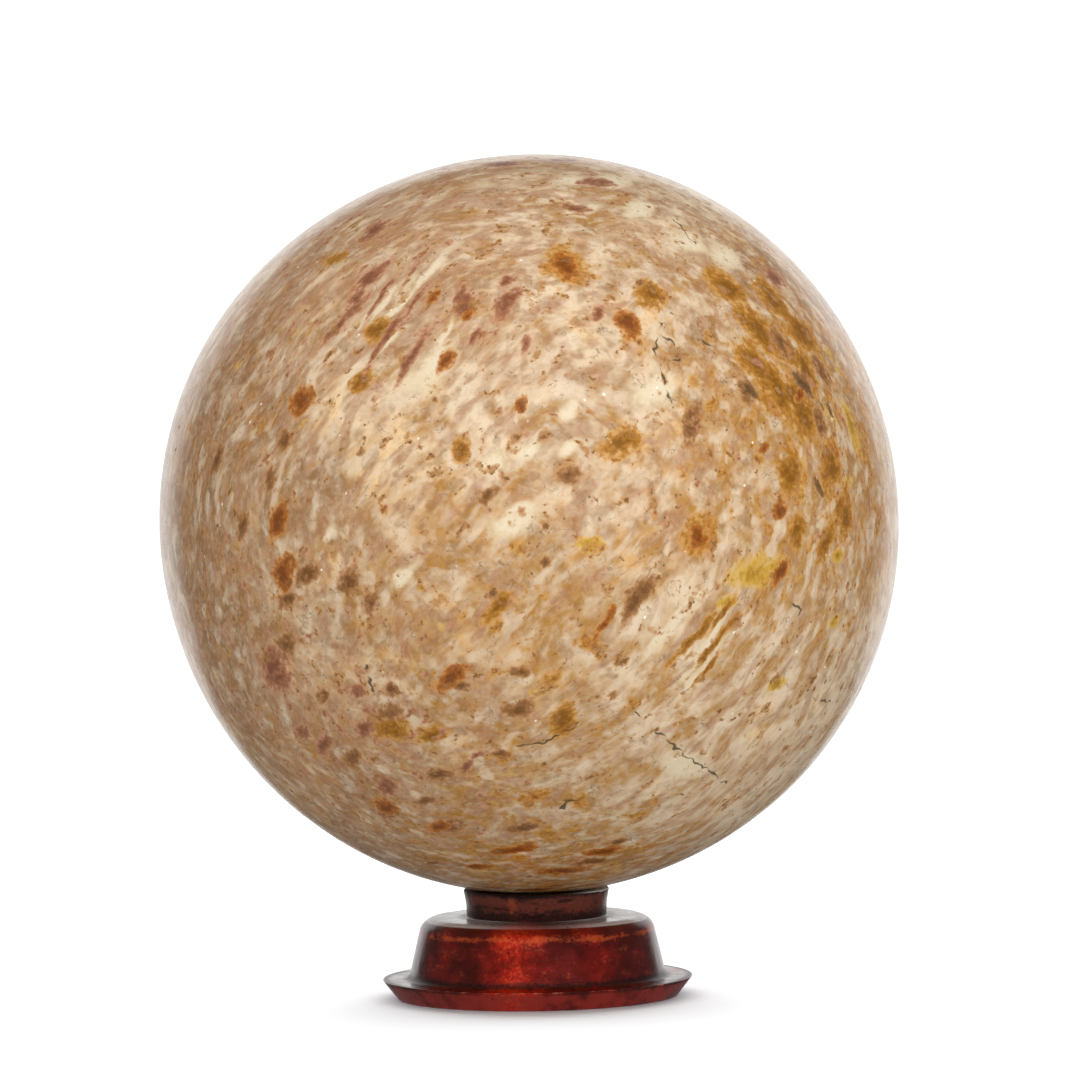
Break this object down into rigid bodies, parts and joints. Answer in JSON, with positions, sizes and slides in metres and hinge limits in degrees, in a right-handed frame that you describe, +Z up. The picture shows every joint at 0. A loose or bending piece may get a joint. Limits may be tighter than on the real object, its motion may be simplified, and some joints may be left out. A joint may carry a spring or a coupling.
{
  "type": "decorative sphere",
  "caption": "Polished mottled stone ball resting in the dished neck of a small turned, red-brown lacquered wooden stand with a bell-shaped body and a thin round foot.",
  "frame": {"origin": "centre of the stand's flat underside", "axes": "+Z up along the axis that the ball and the stand share; the side that shows in the picture faces -Y"},
  "size_m": [0.2, 0.2, 0.2282],
  "materials": {
    "polished_stone": "polished",
    "red_lacquer": "gloss"
  },
  "bodies": {
    "root": {"stone_ball": "polished_stone", "turned_stand": "red_lacquer"}
  },
  "joints": []
}
